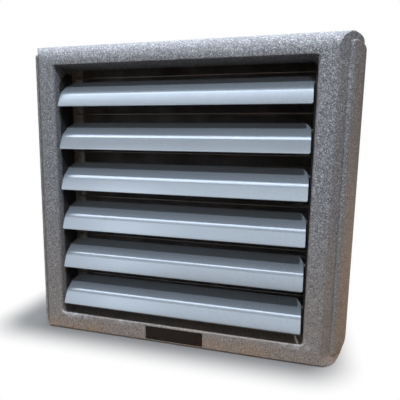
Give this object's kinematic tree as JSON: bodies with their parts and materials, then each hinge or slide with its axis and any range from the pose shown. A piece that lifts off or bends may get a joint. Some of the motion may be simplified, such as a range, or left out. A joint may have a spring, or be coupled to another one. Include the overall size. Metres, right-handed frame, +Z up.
{
  "type": "fan heater",
  "caption": "Water-fed fan heater with a moulded grey foam casing, wide hand-set air louvres, a finned coil behind them and a guarded axial fan at the back.",
  "frame": {"origin": "centre of the bottom of the whole heater's box, on the surface that the casing stands on", "axes": "+Z up, -Y out of the louvred air outlet, +X to the right seen from the front"},
  "size_m": [0.7036, 0.345, 0.613],
  "materials": {
    "foam_casing": "moulded expanded foam, fine speckled beads, matte",
    "badge_black": "smooth black, blank",
    "louvre_silver": "pale silver grey lacquer, semi-gloss",
    "zinc_steel": "galvanised",
    "rail_black": "satin black",
    "coil_black": "black coated fins",
    "copper": "bare copper tube",
    "brass": "machined brass",
    "motor_plastic": "satin black",
    "fan_black": "satin black",
    "guard_wire": "black powder coat",
    "lead_rubber": "smooth rubber sheath",
    "box_plastic": "fine textured grey plastic"
  },
  "bodies": {
    "casing": {"front_shell": "foam_casing", "rear_shell": "foam_casing", "side_panel_left": "foam_casing", "side_panel_right": "foam_casing", "badge_plate": "badge_black", "louvre_rail_left": "rail_black", "louvre_rail_right": "rail_black", "coil_fin_pack": "coil_black", "coil_plate_left": "zinc_steel", "coil_plate_right": "zinc_steel", "coil_stay_1": "zinc_steel", "coil_stay_2": "zinc_steel", "coil_stay_3": "zinc_steel", "coil_stay_4": "zinc_steel", "coil_stay_5": "zinc_steel", "coil_stay_6": "zinc_steel", "supply_header": "copper", "return_header": "copper", "supply_stub": "brass", "return_stub": "brass", "air_vent_plug": "brass", "drain_plug": "brass", "return_bend_1": "copper", "return_bend_2": "copper", "return_bend_3": "copper", "return_bend_4": "copper", "motor_stator": "motor_plastic", "fan_guard": "guard_wire", "guard_screw_1": "zinc_steel", "guard_screw_2": "zinc_steel", "guard_screw_3": "zinc_steel", "guard_screw_4": "zinc_steel", "motor_lead": "lead_rubber", "terminal_box": "box_plastic", "terminal_lid": "box_plastic", "cable_gland": "motor_plastic", "suspension_insert_1": "zinc_steel", "suspension_insert_2": "zinc_steel", "suspension_insert_3": "zinc_steel", "suspension_insert_4": "zinc_steel"},
    "louvre_1": {"louvre_1": "louvre_silver", "louvre_1_pin_left": "zinc_steel", "louvre_1_pin_right": "zinc_steel"},
    "louvre_2": {"louvre_2": "louvre_silver", "louvre_2_pin_left": "zinc_steel", "louvre_2_pin_right": "zinc_steel"},
    "louvre_3": {"louvre_3": "louvre_silver", "louvre_3_pin_left": "zinc_steel", "louvre_3_pin_right": "zinc_steel"},
    "louvre_4": {"louvre_4": "louvre_silver", "louvre_4_pin_left": "zinc_steel", "louvre_4_pin_right": "zinc_steel"},
    "louvre_5": {"louvre_5": "louvre_silver", "louvre_5_pin_left": "zinc_steel", "louvre_5_pin_right": "zinc_steel"},
    "louvre_6": {"louvre_6": "louvre_silver", "louvre_6_pin_left": "zinc_steel", "louvre_6_pin_right": "zinc_steel"},
    "fan": {"fan_rotor": "fan_black"}
  },
  "joints": [
    {"name": "louvre_1_tilt", "type": "hinge", "parent": "casing", "child": "louvre_1", "pos_m": [0, -0.1345, 0.5281], "axis": [1, 0, 0], "range_deg": [-61, 34]},
    {"name": "louvre_2_tilt", "type": "hinge", "parent": "casing", "child": "louvre_2", "pos_m": [0, -0.1345, 0.4423], "axis": [1, 0, 0], "range_deg": [-63.5, 31.5]},
    {"name": "louvre_3_tilt", "type": "hinge", "parent": "casing", "child": "louvre_3", "pos_m": [0, -0.1345, 0.3565], "axis": [1, 0, 0], "range_deg": [-65, 30]},
    {"name": "louvre_4_tilt", "type": "hinge", "parent": "casing", "child": "louvre_4", "pos_m": [0, -0.1345, 0.2707], "axis": [1, 0, 0], "range_deg": [-65, 30]},
    {"name": "louvre_5_tilt", "type": "hinge", "parent": "casing", "child": "louvre_5", "pos_m": [0, -0.1345, 0.1849], "axis": [1, 0, 0], "range_deg": [-65, 30]},
    {"name": "louvre_6_tilt", "type": "hinge", "parent": "casing", "child": "louvre_6", "pos_m": [0, -0.1345, 0.0991], "axis": [1, 0, 0], "range_deg": [-60, 35]},
    {"name": "fan_spin", "type": "hinge", "parent": "casing", "child": "fan", "pos_m": [0, 0.0955, 0.3065], "axis": [0, 1, 0], "continuous": true}
  ]
}
